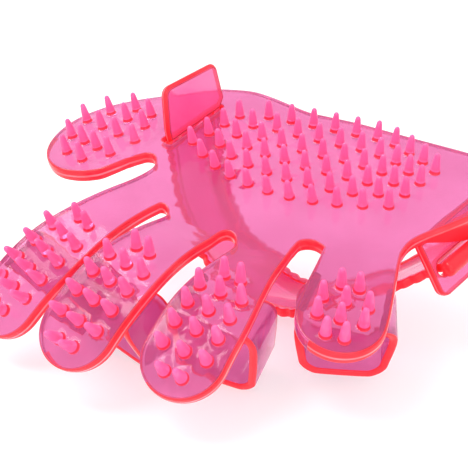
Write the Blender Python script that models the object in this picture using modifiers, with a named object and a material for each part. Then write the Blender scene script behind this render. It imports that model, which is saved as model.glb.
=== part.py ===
"""Five-finger grooming glove for the right hand, moulded in clear pink gel.

The glove lies bristles up: +Z is up, the fingers point along -Y, the thumb is at -X and the
little finger at +X. It stands on its hand strap and fingertips, so the palm is tilted. The flat
pieces are drawn in the palm's own frame, whose XY plane is the palm's bristled face.
"""

import math

import bmesh
import bpy
from mathutils import Matrix, Vector

MM = 0.001

# Driving dimensions
SHEET = 4.0 * MM                    # thickness of the palm and finger plates
GAP = 0.3 * MM                      # clearance kept between neighbouring pieces
PALM_PITCH = math.radians(16)       # fingers lower than the wrist
PALM_ROLL = math.radians(12)        # little-finger side lower than the thumb side

# Bristles
BRISTLE_HEIGHT = 7.0 * MM
BRISTLE_BASE_R = 1.65 * MM
BRISTLE_TIP_R = 0.7 * MM
BRISTLE_ROOT = 1.0 * MM             # length sunk into the plate
BRISTLE_SIDES = 8

# Palm bristle field
PALM_COLUMNS = 11
PALM_FIRST_COLUMN = -33.0 * MM
PALM_COLUMN_PITCH = 7.5 * MM        # at the thumb side, where the columns stand widest
PALM_PITCH_LOSS = 0.095 * MM        # they close up towards the little finger
PALM_LEAST_ROW_PITCH = 5.85 * MM
PALM_MOST_ROWS = 6
FAN_CENTRE = 8.0 * MM               # bristles in front lean forward, those behind lean back
FAN_PER_METRE = math.radians(350)

# Fingers: root centre, heading, bank at the tip, droop after the rise and at the tip, length, half
# widths at root and tip, where the tip pad starts (0 when the whole finger is one piece), bristle
# rows.
# Loops: place along the finger, depth, half width, turn from the finger's heading, droop.
FINGERS = {
    "index": dict(root=(-23.4, -36.4), heading=-4, bank=4, droop=(-7.7, 39.4), length=65.0,
                  half_width=(6.8, 10.9), pad_start=28, rows=6, row_pitch=6.3, end=8.1,
                  loop=(42.3, 29.3, 10.8, -3.6, 28)),
    "middle": dict(root=(-3.5, -38.2), heading=7.6, bank=3.2, droop=(-19, 35), length=59.1,
                   half_width=(8.5, 10.8), pad_start=19.5, rows=6, row_pitch=6.1, end=6.3,
                   loop=(35.9, 30.4, 11.2, -2.7, 19.5)),
    "ring": dict(root=(18.0, -32.3), heading=17, bank=3.6, droop=(-16, 25.5), length=54.4,
                 half_width=(7.1, 10.9), pad_start=15, rows=6, row_pitch=5.9, end=5.6,
                 loop=(25.5, 29.8, 12.3, 4.3, 7.2)),
    "little": dict(root=(38.0, -15.2), heading=27, bank=4.7, droop=(4, 3), length=37.2,
                   half_width=(10.4, 11.7), pad_start=0, rows=4, row_pitch=5.5, end=4.7,
                   loop=(18, 25, 13.4, 13, 3)),
}
FINGER_COLUMN_PITCH = 6.0 * MM
RISE = 8.0 * MM                     # over which a finger leaves the palm's plane
ROOT_GAP = 0.4 * MM                 # from the palm to the first finger piece
HINGE_SETBACK = 0.9 * MM            # how far the underside stands back at a living hinge
WIDTH_BLEND = 0.65                  # share of the length over which a finger widens

# Finger loops: U-shaped bands under the fingers that a finger slips into
LOOP_WIDTH = 14.0 * MM
LOOP_WALL = 2.2 * MM
LOOP_TAPER = 0.9                    # width at the bottom over width halfway down
LOOP_SHOULDER = 9.0 * MM            # where the sides reach their full width
LOOP_CORNER = 5.5 * MM
LOOP_GAP = 0.9 * MM                 # clears the curved underside of the finger
SWING_ROOM = 1.3                    # mm, free in front of the strap's outer leg as it swings up

# Hand strap: a toothed band hanging in a U below the palm
STRAP_WIDTH = 25.0 * MM
STRAP_WALL = 2.6 * MM
STRAP_HEADING = math.radians(8.7)   # turn of the strap's plane about the vertical
STRAP_CENTRE = -2.0 * MM            # middle of the band along its width, in the strap's frame
STRAP_SWERVE = (18.0 * MM, 30.0 * MM, 13.0 * MM)    # start, length and size of its side step
STRAP_TWIST = math.radians(16)      # turned to meet the slot of the buckle tab
TOOTH_PITCH = 4.0 * MM
TOOTH_DEPTH = 1.0 * MM
STRAP_ROUTE = [(-42.0, 0.0), (-39.8, -8.0), (-38.6, -14.0), (-35.8, -21.2), (-31.4, -28.6),
               (-25.6, -34.6), (-17.5, -39.0), (-9.0, -42.2), (-1.8, -43.5), (8.5, -42.2),
               (18.0, -37.6), (28.4, -32.0), (35.0, -27.8), (42.0, -22.6), (47.4, -18.4)]
LEG_POINTS = 6                      # route points in the thumb-side leg
BACK_POINTS = 12                    # route points up to the end of the band's back

# Pull tab: the strap's free end, standing up through its slot beside the thumb
PULL_TAB_DROP = 9.0 * MM            # length below the slot
PULL_TAB_WALL = 1.8 * MM
SLOT_CLEARANCE = 0.5 * MM

# Buckle tab: the flap on the little-finger side that holds the strap's end
BUCKLE_WALL = 3.0 * MM
BUCKLE_HINGE = (46.6 * MM, -5.4 * MM)   # x and z of the hinge line in the palm frame
BUCKLE_SPAN = (-1.3 * MM, 28.0 * MM)    # along the hand
BUCKLE_LENGTH = 16.0 * MM
BUCKLE_SLOPE = math.radians(54)
BUCKLE_SLOT = (8.2 * MM, 4.6 * MM, 25.0 * MM)  # distance from the hinge, width, length
ANCHOR_R = 2.4 * MM

PINK = (0.91, 0.22, 0.45, 1.0)
DEEP_PINK = (0.93, 0.12, 0.33, 1.0)


def new_collection(name):
    collection = bpy.data.collections.new(name)
    bpy.context.scene.collection.children.link(collection)
    return collection


def gel(name, colour):
    material = bpy.data.materials.new(name)
    material.use_nodes = True
    shader = material.node_tree.nodes["Principled BSDF"]
    shader.inputs["Base Color"].default_value = colour
    shader.inputs["Roughness"].default_value = 0.2
    shader.inputs["Metallic"].default_value = 0.0
    return material


def clear_scene():
    for item in list(bpy.data.objects):
        bpy.data.objects.remove(item, do_unlink=True)


def empty(name, parent=None):
    item = bpy.data.objects.new(name, None)
    parts.objects.link(item)
    item.parent = parent
    return item


def add(name, mesh, origin, colour, parent, cutter=False):
    """An object whose mesh was drawn in the parent's frame and whose origin is moved to a point."""
    mesh.transform(Matrix.Translation(-Vector(origin)))
    item = bpy.data.objects.new(name, mesh)
    item.location = origin
    item.parent = parent
    if cutter:
        cutters.objects.link(item)
        item.hide_render = True
        item.display_type = "WIRE"
        return item
    mesh.materials.append(gel(name, colour))
    parts.objects.link(item)
    return item


def boolean(item, cutter, operation):
    modifier = item.modifiers.new(cutter.name, "BOOLEAN")
    modifier.operation = operation
    modifier.object = cutter
    return modifier


def mesh_of(name, bm):
    bmesh.ops.recalc_face_normals(bm, faces=bm.faces)
    mesh = bpy.data.meshes.new(name)
    bm.to_mesh(mesh)
    bm.free()
    return mesh


def rounded(points, steps=4):
    """A closed outline in which each (x, y, radius) corner, in mm, becomes an arc."""
    outline = []
    count = len(points)
    for i, (x, y, radius) in enumerate(points):
        corner = Vector((x, y))
        back = Vector(points[i - 1][:2]) - corner
        ahead = Vector(points[(i + 1) % count][:2]) - corner
        if radius == 0:
            outline.append(corner * MM)
            continue
        half = back.angle(ahead) / 2
        reach = min(radius / math.tan(half), 0.49 * back.length, 0.49 * ahead.length)
        radius = reach * math.tan(half)
        centre = corner + (back.normalized() + ahead.normalized()).normalized() * radius / math.sin(half)
        first = corner + back.normalized() * reach - centre
        last = corner + ahead.normalized() * reach - centre
        sweep = first.angle_signed(last)
        for k in range(steps + 1):
            angle = -sweep * k / steps
            turned = Matrix.Rotation(angle, 2) @ first
            outline.append((centre + turned) * MM)
    return outline


def outline_mesh(name, outline, bottom, top):
    """A flat plate from a 2D curve, between two heights, as a closed mesh."""
    curve = bpy.data.curves.new(name, "CURVE")
    curve.dimensions = "2D"
    curve.fill_mode = "BOTH"
    curve.extrude = (top - bottom) / 2
    spline = curve.splines.new("POLY")
    spline.points.add(len(outline) - 1)
    for point, place in zip(spline.points, outline):
        point.co = (place.x, place.y, 0, 1)
    spline.use_cyclic_u = True
    item = bpy.data.objects.new(name, curve)
    parts.objects.link(item)
    evaluated = item.evaluated_get(bpy.context.evaluated_depsgraph_get())
    mesh = bpy.data.meshes.new_from_object(evaluated)
    bpy.data.objects.remove(item, do_unlink=True)
    bpy.data.curves.remove(curve)
    bm = bmesh.new()
    bm.from_mesh(mesh)
    bpy.data.meshes.remove(mesh)
    bmesh.ops.remove_doubles(bm, verts=bm.verts, dist=0.00001)
    bmesh.ops.translate(bm, verts=bm.verts, vec=(0, 0, (top + bottom) / 2))
    return mesh_of(name, bm)


def loft_mesh(name, rings):
    """A closed body through rings of the same number of points."""
    bm = bmesh.new()
    rows = [[bm.verts.new(point) for point in ring] for ring in rings]
    count = len(rows[0])
    for first, second in zip(rows, rows[1:]):
        for k in range(count):
            following = (k + 1) % count
            bm.faces.new((first[k], first[following], second[following], second[k]))
    bm.faces.new(rows[0])
    bm.faces.new(reversed(rows[-1]))
    return mesh_of(name, bm)


def band_mesh(name, edges):
    """An open strip between pairs of edge points, to be thickened by Solidify."""
    bm = bmesh.new()
    rows = [(bm.verts.new(left), bm.verts.new(right)) for left, right in edges]
    for (a, b), (c, d) in zip(rows, rows[1:]):
        bm.faces.new((a, b, d, c))
    return mesh_of(name, bm)


def solidify(item, thickness):
    modifier = item.modifiers.new("wall", "SOLIDIFY")
    modifier.thickness = thickness
    modifier.offset = 0
    modifier.use_even_offset = True


def bristle_mesh(name, places):
    """Cones standing on (point, normal) places, each sunk a little into its plate."""
    bm = bmesh.new()
    for point, normal in places:
        turn = Vector((0, 0, 1)).rotation_difference(normal).to_matrix().to_4x4()
        centre = point + normal * (BRISTLE_HEIGHT - BRISTLE_ROOT) / 2
        bmesh.ops.create_cone(
            bm, cap_ends=True, segments=BRISTLE_SIDES, radius1=BRISTLE_BASE_R,
            radius2=BRISTLE_TIP_R, depth=BRISTLE_HEIGHT + BRISTLE_ROOT,
            matrix=Matrix.Translation(centre) @ turn)
    return mesh_of(name, bm)


def add_bristles(item, places, parent):
    mesh = bristle_mesh(item.name + "_bristles", places)
    field = add(item.name + "_bristles", mesh, (0, 0, 0), PINK, parent, cutter=True)
    boolean(item, field, "UNION")


# Palm

PALM_OUTLINE = [
    (-42.7, -34.2, 0), (-41.0, -34.4, 0.8), (-38.8, -28.0, 2.5), (-33.0, -28.0, 2.5),
    (-30.4, -35.5, 0), (-16.4, -36.5, 0), (-15.8, -39.3, 0.8), (-13.6, -40.2, 0.8),
    (-12.1, -38.7, 0), (5.1, -36.6, 0), (6.1, -38.6, 0.6), (9.8, -36.5, 0.6),
    (10.9, -34.0, 0), (24.9, -29.7, 0), (24.6, -22.6, 3.2), (28.3, -20.0, 0),
    (47.1, -10.3, 0), (46.2, -4.0, 2.5), (52.0, 15.0, 8.0),
    (53.6, 34.0, 10.0), (50.0, 43.6, 5.0), (33.0, 41.6, 8.0), (11.0, 35.6, 8.0),
    (-7.0, 28.4, 8.0), (-18.0, 25.2, 8.0), (-34.0, 24.2, 10.0), (-50.0, 15.2, 6.0),
    (-53.4, 10.0, 0)]
THUMB_HINGE = (Vector((-43.2, -35.2, 0)) * MM, Vector((-53.7, 10.4, 0)) * MM)


def palm_bristles():
    """Columns along the hand whose ends follow the knuckles in front and the heel behind."""
    places = []
    for column in range(PALM_COLUMNS):
        x = PALM_FIRST_COLUMN + column * (PALM_COLUMN_PITCH - column * PALM_PITCH_LOSS)
        front = -18.5 * MM + 10.2 * (x + 13.0 * MM) ** 2
        back = min(23.4 * MM + 0.424 * x, 28.0 * MM - 9.5 * (x - 15.0 * MM) ** 2)
        count = 1 + min(PALM_MOST_ROWS - 1, int((back - front) / PALM_LEAST_ROW_PITCH))
        for row in range(count):
            y = front + (back - front) * row / (count - 1)
            lean = FAN_PER_METRE * (y - FAN_CENTRE)
            places.append((Vector((x, y, 0)), Vector((0, math.sin(lean), math.cos(lean)))))
    return places


def make_palm():
    mesh = outline_mesh("palm_plate", rounded(PALM_OUTLINE), -SHEET, 0)
    palm = add("palm_plate", mesh, (0, 0, 0), PINK, palm_frame)
    slot = strap_slot_cutter()
    boolean(palm, slot, "DIFFERENCE")
    add_bristles(palm, palm_bristles(), palm_frame)


# Thumb

THUMB_OUTLINE = [
    (-43.7, -35.4, 0), (-43.2, -45.0, 6.0), (-52.5, -50.5, 9.0), (-67.5, -48.8, 12.0),
    (-79.5, -34.0, 14.0), (-78.0, -17.0, 18.0), (-67.0, 0.2, 16.0), (-54.0, 10.3, 0)]
THUMB_DROOP = math.radians(9)
# Rows across the thumb: distance along the hand, first bristle, number and pitch
THUMB_ROWS = ((-42.4, -62.4, 2, 8.7), (-35.4, -69.8, 4, 7.2), (-26.3, -74.3, 4, 9.0),
              (-18.4, -71.3, 3, 9.6), (-12.3, -64.6, 2, 8.3))


def thumb_bristles():
    places = []
    for y, first, count, pitch in THUMB_ROWS:
        for k in range(count):
            places.append((Vector((first + k * pitch, y, 0)) * MM, Vector((0, 0, 1))))
    return places


def make_thumb():
    """A flat lobe that droops about its living hinge beside the strap slot."""
    start, end = THUMB_HINGE
    line = (end - start).normalized()
    middle = (start + end) / 2 - Vector((0, 0, SHEET / 2))
    hinge = empty("thumb_hinge", palm_frame)
    hinge.location = middle
    hinge.rotation_mode = "QUATERNION"
    hinge.rotation_quaternion = Matrix.Rotation(THUMB_DROOP, 3, line).inverted().to_quaternion()
    shift = Matrix.Translation(-middle)
    mesh = outline_mesh("thumb_plate", rounded(THUMB_OUTLINE), -SHEET, 0)
    mesh.transform(shift)
    thumb = add("thumb_plate", mesh, (0, 0, 0), PINK, hinge)
    places = [(shift @ point, normal) for point, normal in thumb_bristles()]
    add_bristles(thumb, places, hinge)


# Fingers


def smooth(share):
    share = min(max(share, 0), 1)
    return share * share * (3 - 2 * share)


def droop_at(finger, distance):
    """A finger first rises out of the palm's plane and then droops over its whole length."""
    first, last = (math.radians(angle) for angle in finger["droop"])
    length = finger["length"] * MM
    return first * smooth(distance / RISE) + (last - first) * smooth(distance / length)


def finger_frame(finger, distance, steps=80):
    """Origin, side, up and forward of a finger's top face, a distance from its root."""
    heading = math.radians(finger["heading"])
    level = Vector((math.sin(heading), -math.cos(heading), 0))
    side = Vector((math.cos(heading), math.sin(heading), 0))
    down = Vector((0, 0, -1))
    point = Vector((*finger["root"], 0)) * MM
    for k in range(steps):
        droop = droop_at(finger, distance * (k + 0.5) / steps)
        point += (level * math.cos(droop) + down * math.sin(droop)) * distance / steps
    droop = droop_at(finger, distance)
    forward = level * math.cos(droop) + down * math.sin(droop)
    bank = math.radians(finger["bank"]) * smooth(distance / (finger["length"] * MM))
    side = Matrix.Rotation(-bank, 3, forward) @ side
    return point, side, side.cross(-forward), forward


def finger_half_width(finger, distance):
    first, last = (value * MM for value in finger["half_width"])
    length = finger["length"] * MM
    width = first + (last - first) * smooth(distance / (WIDTH_BLEND * length))
    beyond = max(distance - (length - last), 0) / last
    return width * math.sqrt(max(1 - beyond * beyond, 0))


def finger_ring(finger, distance, setback=0.0):
    """Six points round a finger; the underside may stand back from a hinge."""
    point, side, up, forward = finger_frame(finger, distance)
    half = finger_half_width(finger, distance)
    ring = []
    for across, height in ((-1, 0), (1, 0), (1.06, -0.5), (1, -1), (-1, -1), (-1.06, -0.5)):
        shift = forward * (setback * -height)
        ring.append(point + side * (half * across) + up * (SHEET * height) + shift)
    return ring


def finger_stations(finger, start, end):
    """Distances from start to end, closer together round the tip."""
    length = finger["length"] * MM
    radius = finger["half_width"][1] * MM
    straight_end = min(end, length - radius)
    count = max(2, round((straight_end - start) / (5 * MM)))
    stations = [start + (straight_end - start) * k / count for k in range(count + 1)]
    if end >= length - GAP:
        angles = [math.radians(a) for a in (18, 36, 52, 66, 78)]
        stations += [length - radius + radius * math.sin(a) for a in angles]
    return stations


def finger_piece(name, finger, start, end, near_setback, far_setback):
    stations = finger_stations(finger, start, end)
    rings = [finger_ring(finger, stations[0], near_setback)]
    rings += [finger_ring(finger, distance) for distance in stations[1:-1]]
    rings.append(finger_ring(finger, stations[-1], -far_setback))
    origin, _, up, _ = finger_frame(finger, start)
    mesh = loft_mesh(name, rings)
    piece = add(name, mesh, origin - up * (SHEET / 2), PINK, palm_frame)
    places = finger_bristles(finger, start, end)
    if places:
        add_bristles(piece, places, palm_frame)


def finger_bristles(finger, start, end):
    """Rows of three, with two in the first and last rows."""
    places = []
    rows = finger["rows"]
    for row in range(rows):
        distance = (finger["length"] - finger["end"] - (rows - 1 - row) * finger["row_pitch"]) * MM
        if not start < distance < end:
            continue
        offsets = (-0.4, 0.4) if row in (0, rows - 1) else (-1, 0, 1)
        point, side, up, _ = finger_frame(finger, distance)
        places += [(point + side * (offset * FINGER_COLUMN_PITCH), up) for offset in offsets]
    return places


def loop_frame(finger):
    """Side, up and forward of a loop, which hangs more level than its finger."""
    at, _, _, turn, droop = finger["loop"]
    point = finger_frame(finger, at * MM)[0]
    heading = math.radians(finger["heading"] + turn)
    level = Vector((math.sin(heading), -math.cos(heading), 0))
    down = Vector((0, 0, -1))
    forward = level * math.cos(math.radians(droop)) + down * math.sin(math.radians(droop))
    side = Vector((math.cos(heading), math.sin(heading), 0))
    bank = math.radians(finger["bank"]) * smooth(at / finger["length"])
    side = Matrix.Rotation(-bank, 3, forward) @ side
    return point, side, side.cross(-forward), forward


def finger_loop(name, finger):
    """A U-shaped band hanging from both edges of a finger."""
    at, depth, half = (value * MM for value in finger["loop"][:3])
    point, side, up, forward = loop_frame(finger)
    half -= LOOP_WALL / 2
    bottom = half * LOOP_TAPER - LOOP_CORNER
    level = depth - LOOP_WALL / 2 - LOOP_CORNER
    outline = [(-half, -LOOP_SHOULDER)]
    for turn, angles in ((-1, range(0, 91, 30)), (1, range(90, -1, -30))):
        for angle in angles:
            across = bottom + LOOP_CORNER * math.cos(math.radians(angle))
            outline.append((turn * across, -level - LOOP_CORNER * math.sin(math.radians(angle))))
    outline.append((half, -LOOP_SHOULDER))
    reach = LOOP_WIDTH / 2
    edges = [loop_top(finger, at, -1)]
    for across, height in outline:
        centre = point + side * across + up * height
        edges.append((centre - forward * reach, centre + forward * reach))
    edges.append(loop_top(finger, at, 1))
    mesh = band_mesh(name, edges)
    loop = add(name, mesh, point - up * SHEET, PINK, palm_frame)
    solidify(loop, LOOP_WALL)


def loop_top(finger, at, turn):
    """Where one side of a loop meets the underside of its finger."""
    ends = []
    for distance in (at - LOOP_WIDTH / 2, at + LOOP_WIDTH / 2):
        point, side, up, _ = finger_frame(finger, distance)
        half = finger_half_width(finger, distance) - LOOP_WALL / 2
        ends.append(point + side * (turn * half) - up * (SHEET + LOOP_GAP))
    return tuple(ends)


def make_fingers():
    for name, finger in FINGERS.items():
        length = finger["length"] * MM
        pad_start = finger["pad_start"] * MM
        if pad_start:
            finger_piece(name + "_base", finger, ROOT_GAP, pad_start - GAP / 2, HINGE_SETBACK, HINGE_SETBACK)
            finger_piece(name + "_pad", finger, pad_start + GAP / 2, length, HINGE_SETBACK, 0)
        else:
            finger_piece(name + "_pad", finger, ROOT_GAP, length, HINGE_SETBACK, 0)
        finger_loop(name + "_loop", finger)


# Strap: drawn in the strap's frame, X along the band, Y across it and Z up


def strap_slot_cutter():
    """A slab a little larger than the band, standing where the band crosses the palm."""
    top = STRAP_ROUTE[0]
    bm = bmesh.new()
    size = (STRAP_WALL + 2 * SLOT_CLEARANCE, STRAP_WIDTH + 2 * SLOT_CLEARANCE, 30 * MM)
    bmesh.ops.create_cube(bm, size=1)
    bmesh.ops.scale(bm, verts=bm.verts, vec=size)
    centre = (top[0] * MM, STRAP_CENTRE, 5 * MM)
    bmesh.ops.translate(bm, verts=bm.verts, vec=centre)
    return add("strap_slot", mesh_of("strap_slot", bm), (0, 0, 0), PINK, strap_frame, cutter=True)


def route_points(points, spacing):
    """Points a set distance apart along the route, with the band's direction at each."""
    corners = [Vector((x, 0, z)) * MM for x, z in points]
    lengths = [(b - a).length for a, b in zip(corners, corners[1:])]
    total = sum(lengths)
    count = max(2, 2 * round(total / spacing / 2))
    result = []
    for k in range(count + 1):
        distance = total * k / count
        i = 0
        while i < len(lengths) - 1 and distance > lengths[i]:
            distance -= lengths[i]
            i += 1
        result.append(corners[i].lerp(corners[i + 1], distance / lengths[i]))
    return result


def band_edge(centre, reach):
    """A point on the band's edge; near the buckle the band steps sideways and twists."""
    start, length, size = STRAP_SWERVE
    share = smooth((centre.x - start) / length)
    twist = STRAP_TWIST * share
    across = Vector((0, math.cos(twist), math.sin(twist)))
    return centre + Vector((0, STRAP_CENTRE + size * share, 0)) + across * reach


def strap_section(name, points, parent_item):
    """A stretch of toothed band: its edges step in and out every half tooth."""
    edges = []
    for k, centre in enumerate(route_points(points, TOOTH_PITCH / 2)):
        half = STRAP_WIDTH / 2 - (TOOTH_DEPTH if k % 2 else 0)
        edges.append((band_edge(centre, -half), band_edge(centre, half)))
    mesh = band_mesh(name, edges)
    item = add(name, mesh, edges[0][0], DEEP_PINK, parent_item)
    solidify(item, STRAP_WALL)


def trimmed(points, at_start, at_end):
    """Route points with a little taken off either end, so that sections keep their gap."""
    corners = [Vector(point) for point in points]
    first = corners[0] + (corners[1] - corners[0]).normalized() * at_start
    last = corners[-1] + (corners[-2] - corners[-1]).normalized() * at_end
    return [tuple(first)] + [tuple(c) for c in corners[1:-1]] + [tuple(last)]


def make_strap():
    gap = 1.5 * GAP / MM
    leg = [(-39.8, -PULL_TAB_DROP / MM)] + STRAP_ROUTE[2:LEG_POINTS]
    strap_section("strap_thumb_leg", trimmed(leg, gap, gap), strap_frame)
    back = STRAP_ROUTE[LEG_POINTS - 1:BACK_POINTS]
    strap_section("strap_back", trimmed(back, gap, gap), strap_frame)
    outer = STRAP_ROUTE[BACK_POINTS - 1:]
    strap_section("strap_outer_leg", trimmed(outer, SWING_ROOM, 2 * gap), strap_frame)


PULL_TAB_OUTLINE = [
    (-12.0, -9.0, 0), (12.0, -9.0, 0), (12.0, 11.6, 0.8), (13.8, 13.2, 0.8), (9.4, 25.3, 3.0),
    (-14.6, 19.7, 3.2), (-12.8, 5.2, 0.8), (-12.0, 4.4, 0)]
PULL_TAB_POCKET = [
    (-11.0, 8.0, 1.0), (10.6, 15.4, 1.0), (8.2, 23.4, 2.0), (-12.6, 18.6, 2.0)]


def make_pull_tab():
    """The band's free end: a rounded tongue whose rim is thicker than its faces."""
    x = STRAP_ROUTE[0][0] * MM
    upright = Matrix(((0, 0, 1, 0), (1, 0, 0, 0), (0, 1, 0, 0), (0, 0, 0, 1)))
    place = Matrix.Translation((x, STRAP_CENTRE, 0)) @ upright
    mesh = outline_mesh("strap_pull_tab", rounded(PULL_TAB_OUTLINE), -STRAP_WALL / 2, STRAP_WALL / 2)
    mesh.transform(place)
    tab = add("strap_pull_tab", mesh, (x, STRAP_CENTRE, 0), DEEP_PINK, strap_frame)
    for side in (-1, 1):
        near, far = sorted((side * PULL_TAB_WALL / 2, side * STRAP_WALL))
        cut = outline_mesh("pocket", rounded(PULL_TAB_POCKET), near, far)
        cut.transform(place)
        pocket = add(f"pocket_{side}", cut, (0, 0, 0), PINK, strap_frame, cutter=True)
        boolean(tab, pocket, "DIFFERENCE")


# Buckle tab and strap anchor: drawn with X away from the hinge and Y along it


def make_buckle():
    x, z = BUCKLE_HINGE
    middle = (BUCKLE_SPAN[0] + BUCKLE_SPAN[1]) / 2
    half = (BUCKLE_SPAN[1] - BUCKLE_SPAN[0]) / 2 / MM
    hinge = empty("buckle_hinge", palm_frame)
    hinge.location = (x, middle, z)
    hinge.rotation_euler = (0, BUCKLE_SLOPE, 0)
    length = BUCKLE_LENGTH / MM
    outline = [(0.4, -half, 1.0), (length, -half, 3.0), (length, half, 3.0), (0.4, half, 1.0)]
    mesh = outline_mesh("buckle_tab", rounded(outline), -BUCKLE_WALL / 2, BUCKLE_WALL / 2)
    tab = add("buckle_tab", mesh, (0, 0, 0), DEEP_PINK, hinge)
    centre, width, span = (value / MM for value in BUCKLE_SLOT)
    slot = [(centre - width / 2, -span / 2, width / 2), (centre + width / 2, -span / 2, width / 2),
            (centre + width / 2, span / 2, width / 2), (centre - width / 2, span / 2, width / 2)]
    cut = outline_mesh("buckle_slot", rounded(slot), -BUCKLE_WALL, BUCKLE_WALL)
    boolean(tab, add("buckle_slot", cut, (0, 0, 0), PINK, hinge, cutter=True), "DIFFERENCE")
    make_anchor(hinge, centre * MM)


def make_anchor(hinge, centre):
    """The strap's thick end: a bar outside the slot and a neck that runs through it."""
    bm = bmesh.new()
    turn = Matrix.Rotation(math.pi / 2, 4, "X")
    place = Matrix.Translation((centre, 0, BUCKLE_WALL / 2 + GAP + ANCHOR_R))
    bmesh.ops.create_cone(bm, cap_ends=True, segments=14, radius1=ANCHOR_R, radius2=ANCHOR_R,
                          depth=STRAP_WIDTH, matrix=place @ turn)
    anchor = add("strap_anchor_bar", mesh_of("strap_anchor_bar", bm), (0, 0, 0), DEEP_PINK, hinge)
    neck = bmesh.new()
    bottom = -(BUCKLE_WALL / 2 + GAP)
    top = BUCKLE_WALL / 2 + GAP + ANCHOR_R
    size = (STRAP_WALL, STRAP_WIDTH - 3 * TOOTH_DEPTH, top - bottom)
    bmesh.ops.create_cube(neck, size=1)
    bmesh.ops.scale(neck, verts=neck.verts, vec=size)
    bmesh.ops.translate(neck, verts=neck.verts, vec=(centre, 0, (top + bottom) / 2))
    item = add("anchor_neck", mesh_of("anchor_neck", neck), (0, 0, 0), PINK, hinge, cutter=True)
    boolean(anchor, item, "UNION")


def stand_on_origin():
    """Moves the glove so that its box is centred on the origin and stands on Z = 0."""
    bpy.context.view_layer.update()
    graph = bpy.context.evaluated_depsgraph_get()
    places = []
    for item in parts.objects:
        if item.type == "MESH":
            evaluated = item.evaluated_get(graph)
            places += [evaluated.matrix_world @ vertex.co for vertex in evaluated.data.vertices]
    low = [min(place[k] for place in places) for k in range(3)]
    high = [max(place[k] for place in places) for k in range(3)]
    glove.location = (-(low[0] + high[0]) / 2, -(low[1] + high[1]) / 2, -low[2])


clear_scene()
parts = new_collection("grooming_glove")
cutters = new_collection("cutters")
glove = empty("glove")
palm_frame = empty("palm_frame", glove)
palm_frame.rotation_mode = "YXZ"
palm_frame.rotation_euler = (PALM_PITCH, PALM_ROLL, 0)
strap_frame = empty("strap_frame", glove)
strap_frame.rotation_euler = (0, 0, STRAP_HEADING)
make_palm()
make_thumb()
make_fingers()
make_strap()
make_pull_tab()
make_buckle()
stand_on_origin()
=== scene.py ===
"""Looks for the grooming glove: clear pink gel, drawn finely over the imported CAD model.

Plates, loops and the strap are drawn in millimetres in the palm's own frame, whose XY plane is
the bristled face (+Z to the bristles, -Y to the fingers), and then moved into the row frame.
"""

import math

import bmesh
import bpy
import numpy as np
from mathutils import Euler, Matrix, Vector
from mathutils.geometry import delaunay_2d_cdt


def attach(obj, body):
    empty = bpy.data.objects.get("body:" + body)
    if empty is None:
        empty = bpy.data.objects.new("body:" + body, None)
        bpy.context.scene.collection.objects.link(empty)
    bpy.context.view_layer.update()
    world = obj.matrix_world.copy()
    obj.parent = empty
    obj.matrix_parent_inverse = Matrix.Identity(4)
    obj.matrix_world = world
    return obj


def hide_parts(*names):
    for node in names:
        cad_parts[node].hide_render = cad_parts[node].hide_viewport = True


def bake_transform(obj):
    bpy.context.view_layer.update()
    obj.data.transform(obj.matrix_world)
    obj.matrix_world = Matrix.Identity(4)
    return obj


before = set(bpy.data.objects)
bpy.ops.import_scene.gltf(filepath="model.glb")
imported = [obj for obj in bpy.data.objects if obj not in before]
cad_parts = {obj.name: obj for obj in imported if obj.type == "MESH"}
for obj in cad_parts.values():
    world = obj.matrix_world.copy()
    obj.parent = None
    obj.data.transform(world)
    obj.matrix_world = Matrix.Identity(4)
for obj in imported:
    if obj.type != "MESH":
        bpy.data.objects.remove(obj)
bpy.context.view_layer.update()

MM = 0.001
SHEET = 4.0             # thickness of the plates
RIM = 0.7               # rounding of their edges
RIM_STEPS = 4

# Where the palm's frame and the strap's frame stand in the row frame
GLOVE_AT = Vector((0.009628, 0.02279, 0.048045))
PALM_PITCH = math.radians(16)       # fingers lower than the wrist
PALM_ROLL = math.radians(12)        # little-finger side lower than the thumb side
STRAP_TURN = math.radians(8.7)
PALM = (Matrix.Translation(GLOVE_AT) @ Euler((PALM_PITCH, PALM_ROLL, 0), "YXZ").to_matrix().to_4x4()
        @ Matrix.Scale(MM, 4))
STRAP = Matrix.Translation(GLOVE_AT) @ Matrix.Rotation(STRAP_TURN, 4, "Z") @ Matrix.Scale(MM, 4)

# Slots of every piece's mesh
FACE, EDGE, BRISTLE, ROOT, CLEAR, HIGHLIGHT_STREAK, SHADED_LIP = range(7)


# ---------------------------------------------------------------- small tools


def smooth(share):
    share = min(max(share, 0.0), 1.0)
    return share * share * (3 - 2 * share)


def catmull(points, steps):
    """A smooth line through points, each span cut into steps."""
    line = []
    last = len(points) - 1
    for i in range(last):
        a, b, c, d = points[max(i - 1, 0)], points[i], points[i + 1], points[min(i + 2, last)]
        for k in range(steps):
            t = k / steps
            line.append(0.5 * (2 * b + (c - a) * t + (2 * a - 5 * b + 4 * c - d) * t * t
                               + (3 * b - a - 3 * c + d) * t * t * t))
    line.append(points[-1].copy())
    return line


def rounded(points, steps=8):
    """A closed outline in which each (x, y, radius) corner becomes an arc."""
    outline = []
    count = len(points)
    for i, (x, y, radius) in enumerate(points):
        corner = Vector((x, y))
        back = Vector(points[i - 1][:2]) - corner
        ahead = Vector(points[(i + 1) % count][:2]) - corner
        if radius == 0:
            outline.append(corner)
            continue
        half = back.angle(ahead) / 2
        reach = min(radius / math.tan(half), 0.49 * back.length, 0.49 * ahead.length)
        radius = reach * math.tan(half)
        centre = corner + (back.normalized() + ahead.normalized()).normalized() * radius / math.sin(half)
        first = corner + back.normalized() * reach - centre
        last = corner + ahead.normalized() * reach - centre
        sweep = first.angle_signed(last)
        for k in range(steps + 1):
            outline.append(centre + Matrix.Rotation(-sweep * k / steps, 2) @ first)
    return outline


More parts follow.
